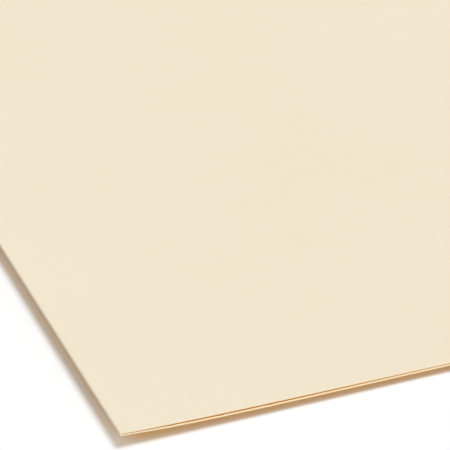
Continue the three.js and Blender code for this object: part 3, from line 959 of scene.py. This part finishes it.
class FOLDER_OT_bars(bpy.types.Operator):
    """Makes the compressor bars, with rolled edges and a slot for each prong"""

    bl_idname = "folder.bars"
    bl_label = "Compressor bars"

    def execute(self, context):
        sizes = context.scene.fastener_sizes
        half_length = BAR_BOX[1].x
        half_width = half_span(BAR_BOX, Y)
        bead = half_span(BAR_BOX, Z)
        bead_y = half_width - bead
        hole_x = riser_place(sizes)
        slot_x, slot_y = sizes.slot_width / 2, sizes.slot_length / 2

        def half_height(y):
            """Half the tinplate, or the rolled edge's circle where that is higher."""
            circle = np.sqrt(np.clip(bead**2 - (np.abs(y) - bead_y) ** 2, 0, None))
            least = np.where(np.abs(y) > bead_y, sizes.bar_thin, sizes.tin / 2)
            return np.maximum(circle, least)

        def bar(stand, x, y, part):
            """Half the height below the middle level, up to half the height above it."""
            level = stand.level(centre_of(BAR_BOX, Z))
            return stand.points(x, y, level + half_height(y) * (2 * part - 1))

        round_bead = bead_y + bead * np.sin(np.radians(np.linspace(-72, 90, 14)))
        rows = steps(both_ways([0, slot_y / 2, slot_y, *round_bead]), BAR_STEPS[1])
        end_x = half_length - corner_inset(half_width - np.abs(rows), sizes.bar_end)
        shares = np.linspace(0, 1, 7)[1:]
        right = mix(hole_x + slot_x, end_x[:, None], shares)
        middle = steps(both_ways([0, hole_x - slot_x, hole_x + slot_x]), BAR_STEPS[0])
        middle_x = np.broadcast_to(middle, (len(rows), len(middle)))
        x = np.concatenate([-right[:, ::-1], middle_x, right], axis=1)
        y = np.broadcast_to(rows[:, None], x.shape)
        slot_rows = cells(rows, -slot_y, slot_y)
        first = len(shares)
        last = first + len(middle) - 1
        holes = [(slot_rows, slice(first, first + 1)), (slot_rows, slice(last - 1, last))]
        for stand in both_sides(context):
            place, thickness = partial(bar, stand), 2 * half_height(y)
            mesh = sheet_mesh(f"{stand.side}_bar", x, y, place, thickness, sizes.tin_round, holes)
            stand_for(add_piece(context, mesh, "tinplate"), f"{stand.side}_compressor", stand.body)
        return {"FINISHED"}


class FOLDER_OT_prongs(bpy.types.Operator):
    """Makes the four prongs, each with the bend that joins it to its riser"""

    bl_idname = "folder.prongs"
    bl_label = "Prongs"

    def execute(self, context):
        sizes = context.scene.fastener_sizes
        half = half_span(PRONG_BOX, Y)
        hole_x = riser_place(sizes)
        root = sizes.prong_root
        arc = root * np.pi / 2
        tip_start = arc + PRONG_BOX[1].x - hole_x - root - half
        straight = steps([*(arc * np.linspace(0, 1, 5)), arc + PAST_BEND, tip_start], PRONG_STEP)
        round_tip = tip_start + half * np.sin(np.radians(np.linspace(0, 81, 13)))[1:]
        along = np.concatenate([straight, round_tip])
        past = np.clip(along - tip_start, 0, half)
        across = np.linspace(-1, 1, 13)
        u = np.broadcast_to(along, (len(across), len(along)))
        v = across[:, None] * np.sqrt(half**2 - past**2)

        def tongue(stand, way, u, v, part):
            """Quarter ring from the riser to the flat tongue, which has a low crown along its middle.

            It is turned about the upright at its hole for the left prong.
            """
            turned = np.clip(u / root, 0, np.pi / 2)
            off = sizes.tin * (part - 0.5)
            x = hole_x + root - (root + off) * np.cos(turned) + np.clip(u - arc, 0, None)
            crown = (1 - (v / half) ** 2) * smooth_ramp(arc, arc + sizes.crown_run, u)
            z = (root + off) * np.sin(turned) - root + sizes.prong_crown * crown
            return stand.points(way * x, way * v, prong_level(stand) + z)

        def prong_level(stand):
            """Height of the bend's axis above the leaf."""
            return stand.level(centre_of(PRONG_BOX, Z))

        for stand in both_sides(context):
            for name, way in ENDS.items():
                place = partial(tongue, stand, way)
                mesh = sheet_mesh(f"{stand.side}_{name}_tongue", u, v, place, sizes.tin, sizes.tin_round)
                piece = add_piece(context, mesh, "tinplate")
                bend_x = hole_x + sizes.prong_flat * np.array([BEND_START, 1])
                start, end = stand.points(way * bend_x, 0.0, prong_level(stand))
                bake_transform(piece)
                stand_for(piece, f"{stand.side}_{name}_prong", None)
        return {"FINISHED"}


class FOLDER_OT_sliders(bpy.types.Operator):
    """Makes the four sliders, with pressed finger ribs"""

    bl_idname = "folder.sliders"
    bl_label = "Sliders"

    def execute(self, context):
        sizes = context.scene.fastener_sizes
        wall, bend = sizes.slider_wall, sizes.slider_bend
        half_y = (SLIDER_BOX[1].y - SLIDER_BOX[0].y - wall) / 2
        half_x = half_span(SLIDER_BOX, X)
        parked = centre_of(SLIDER_BOX, X)
        tall = SLIDER_BOX[1].z - SLIDER_BOX[0].z - wall
        lip = sizes.slider_lip - wall / 2
        arc = bend * np.pi / 2
        side_runs = [lip - bend, arc, tall - 2 * bend, arc]
        runs = [*side_runs, 2 * (half_y - bend), *side_runs[::-1]]
        ends = np.concatenate([[0], np.cumsum(runs)])
        headings = np.radians([0, 0, 90, 90, 180, 180, 270, 270, 360, 360])

        def section(u):
            """Middle line of the section and its outward direction: straight runs joined by quarter turns.

            The heading turns evenly along each bend, and the line is the running sum of its direction.
            """
            fine = np.unique(np.concatenate([np.linspace(0, ends[-1], 2000), ends]))
            heading = np.interp(fine, ends, headings)
            middle = (heading[1:] + heading[:-1]) / 2
            step = np.diff(fine)
            y = half_y - lip + np.concatenate([[0], np.cumsum(np.cos(middle) * step)])
            z = np.concatenate([[0], np.cumsum(np.sin(middle) * step)])
            here = np.interp(u, fine, heading)
            return np.interp(u, fine, y), np.interp(u, fine, z), np.sin(here), -np.cos(here)

        def ribbed(u, x):
            """Two pressed ribs across the roof, fading out before the bends."""
            roof_start, roof_end, fade = ends[4], ends[5], sizes.rib_fade
            rising = smooth_ramp(roof_start, roof_start + fade, u)
            roof = rising * (1 - smooth_ramp(roof_end - fade, roof_end, u))
            places = (-sizes.rib_place, sizes.rib_place)
            ribs = sum(np.exp(-(((x - place) / sizes.rib_width) ** 2)) for place in places)
            return sizes.slider_rib * roof * ribs

        def sleeve(stand, way, u, v, part):
            """The section carried along x, with the wall laid out evenly on both sides of it."""
            low = stand.level(SLIDER_BOX[0].z) + wall / 2
            y, z, out_y, out_z = section(u)
            off = wall * (part - 0.5) + ribbed(u, v)
            return stand.points(way * parked + v, y + out_y * off, low + z + out_z * off)

        stops = np.concatenate([np.linspace(a, b, 5) for a, b in zip(ends, ends[1:])])
        u, v = np.meshgrid(steps(stops, SLIDER_STEP), np.linspace(-half_x, half_x, 37))
        for stand in both_sides(context):
            for name, way in ENDS.items():
                place = partial(sleeve, stand, way)
                mesh = sheet_mesh(f"{stand.side}_{name}_sleeve", u, v, place, wall, sizes.tin_round)
                body = f"{stand.side}_{name}_slider"
                stand_for(add_piece(context, mesh, "tinplate"), body, body)
        return {"FINISHED"}


def empty_tree(owner):
    """The cleared nodes of a material or of the world."""
    owner.use_nodes = True
    owner.node_tree.nodes.clear()
    return owner.node_tree


def show(tree, output, lit, seen):
    """Gives the first shader to rays that light things, and the second to those that are seen.

    Seen are rays from the camera, and those that metal or glass sends on.
    """
    path = add_node(tree, "LightPath").outputs
    sent_on = calculate(tree, "MAXIMUM", path["Is Glossy Ray"], path["Is Transmission Ray"])
    is_seen = calculate(tree, "MAXIMUM", path["Is Camera Ray"], sent_on)
    switch = add_node(tree, "MixShader", {"Fac": is_seen, 1: lit.outputs[0], 2: seen.outputs[0]})
    add_node(tree, output, {"Surface": switch.outputs[0]})


def floor_material(studio, fold_x):
    """Plain floor. The camera sees its lit part as white, and its shade a little warm.

    The shade's colour comes in where the folder closes the floor off, and less outside the fold.
    """
    material = bpy.data.materials.new("floor")
    tree = empty_tree(material)
    openness = add_node(tree, "AmbientOcclusion", {"Distance": SHADE_REACH}).outputs["AO"]
    closeness = spread(tree, openness, *SHADE_OPENNESS)
    place = add_node(tree, "TexCoord").outputs["Object"]
    across = add_node(tree, "SeparateXYZ", {0: place}).outputs["X"]
    start, whole = (fold_x + distance for distance in SHADE_DISTANCES)
    under_edge = spread(tree, across, start, whole, SHADE_OUTSIDE, 1.0)
    shaded = calculate(tree, "MULTIPLY", closeness, under_edge)
    away = [1 - part for part in studio.floor_glow]
    tone = blend_colours(tree, shaded, away, studio.floor_shade)
    plain = add_node(tree, "BsdfDiffuse", {"Color": opaque(studio.floor)})
    toned = add_node(tree, "BsdfDiffuse", {"Color": tone})
    glow = add_node(tree, "Emission", {"Color": opaque(studio.floor_glow), "Strength": 1.0})
    both = add_node(tree, "AddShader", {0: toned.outputs[0], 1: glow.outputs[0]})
    show(tree, "OutputMaterial", plain, both)
    return material


def even_light(scene, studio):
    """World that lights evenly from all round and is seen as plain white."""
    scene.world = bpy.data.worlds.new("studio")
    tree = empty_tree(scene.world)
    white = (1.0, 1.0, 1.0, 1.0)
    fill = add_node(tree, "Background", {"Color": white, "Strength": studio.fill})
    plain = add_node(tree, "Background", {"Color": white, "Strength": 1.0})
    show(tree, "OutputWorld", fill, plain)


def add_camera(scene, studio, corner):
    """Camera whose picture shows the folder's corner at the photograph's pixel."""
    turn, height = studio.turn, studio.height
    ahead = math.cos(height)
    forward = Vector((-math.sin(turn) * ahead, math.cos(turn) * ahead, -math.sin(height)))
    right = Vector((math.cos(turn), math.sin(turn), 0))
    up = right.cross(forward)
    data = bpy.data.cameras.new("camera")
    data.lens = studio.lens
    data.clip_start = 0.01
    data.clip_end = 60
    camera = bpy.data.objects.new("camera", data)
    scene.collection.objects.link(camera)
    scene.camera = camera
    pixel = studio.distance * data.sensor_width / data.lens / IMAGE_SIDE
    across = (CORNER_COLUMN - IMAGE_SIDE / 2) * pixel
    down = (CORNER_ROW - IMAGE_SIDE / 2) * pixel
    camera.location = corner - forward * studio.distance - right * across + up * down
    camera.rotation_euler = forward.to_track_quat("-Z", "Y").to_euler()


def add_light(scene, name, strength, width, towards):
    """Soft even light from far away, of the given width in the sky."""
    lamp = bpy.data.lights.new(name, "SUN")
    lamp.energy = strength
    lamp.angle = width
    light = bpy.data.objects.new(name, lamp)
    light.rotation_euler = Vector(towards).to_track_quat("Z", "Y").to_euler()
    scene.collection.objects.link(light)


class FOLDER_OT_stage(bpy.types.Operator):
    """Makes the floor, the light and the camera"""

    bl_idname = "folder.stage"
    bl_label = "Stage"

    def execute(self, context):
        scene = context.scene
        studio = scene.studio
        folder = ClosedFolder(scene.board_sizes)
        add_camera(scene, studio, Vector((folder.fold_x, folder.far_y, folder.axis_z)))
        corners = np.array([(-1, -1, 0), (1, -1, 0), (1, 1, 0), (-1, 1, 0)]) * FLOOR_REACH
        corners[:, 2] = -studio.floor_drop
        mesh = bpy.data.meshes.new("floor")
        mesh.from_pydata(corners, [], [(0, 1, 2, 3)])
        mesh.materials.append(floor_material(studio, folder.fold_x))
        floor = bpy.data.objects.new("floor", mesh)
        scene.collection.objects.link(floor)
        even_light(scene, studio)
        add_light(scene, "key", studio.key, studio.key_size, KEY_TOWARDS)
        add_light(scene, "front", studio.front, studio.front_size, FRONT_TOWARDS)
        scene.view_settings.view_transform = "Standard"
        return {"FINISHED"}


class FOLDER_PT_panel(bpy.types.Panel):
    """Lists the folder's pieces, with the sizes and colours that they use"""

    bl_idname = "FOLDER_PT_panel"
    bl_label = "Fastener folder"
    bl_space_type = "VIEW_3D"
    bl_region_type = "UI"
    bl_category = "Folder"

    def draw(self, context):
        for operator in PIECES:
            self.layout.operator(operator.bl_idname)
        for name, group in GROUPS.items():
            box = self.layout.box()
            for value in group.__annotations__:
                box.prop(getattr(context.scene, name), value)


GROUPS = {
    "board_sizes": BoardSizes,
    "fastener_sizes": FastenerSizes,
    "finishes": Finishes,
    "studio": Studio,
}
PIECES = [
    FOLDER_OT_stage,
    FOLDER_OT_leaves,
    FOLDER_OT_fold_bend,
    FOLDER_OT_second_layers,
    FOLDER_OT_patches,
    FOLDER_OT_strips,
    FOLDER_OT_bars,
    FOLDER_OT_prongs,
    FOLDER_OT_sliders,
]


def register():
    for made in [*GROUPS.values(), *PIECES, FOLDER_PT_panel]:
        bpy.utils.register_class(made)
    for name, group in GROUPS.items():
        setattr(bpy.types.Scene, name, PointerProperty(type=group))


def unregister():
    for name in GROUPS:
        delattr(bpy.types.Scene, name)
    for made in [FOLDER_PT_panel, *reversed(PIECES), *reversed(GROUPS.values())]:
        bpy.utils.unregister_class(made)


def main():
    """Makes every piece in order."""
    register()
    for operator in PIECES:
        group, name = operator.bl_idname.split(".")
        getattr(getattr(bpy.ops, group), name)()


if __name__ == "__main__":
    main()
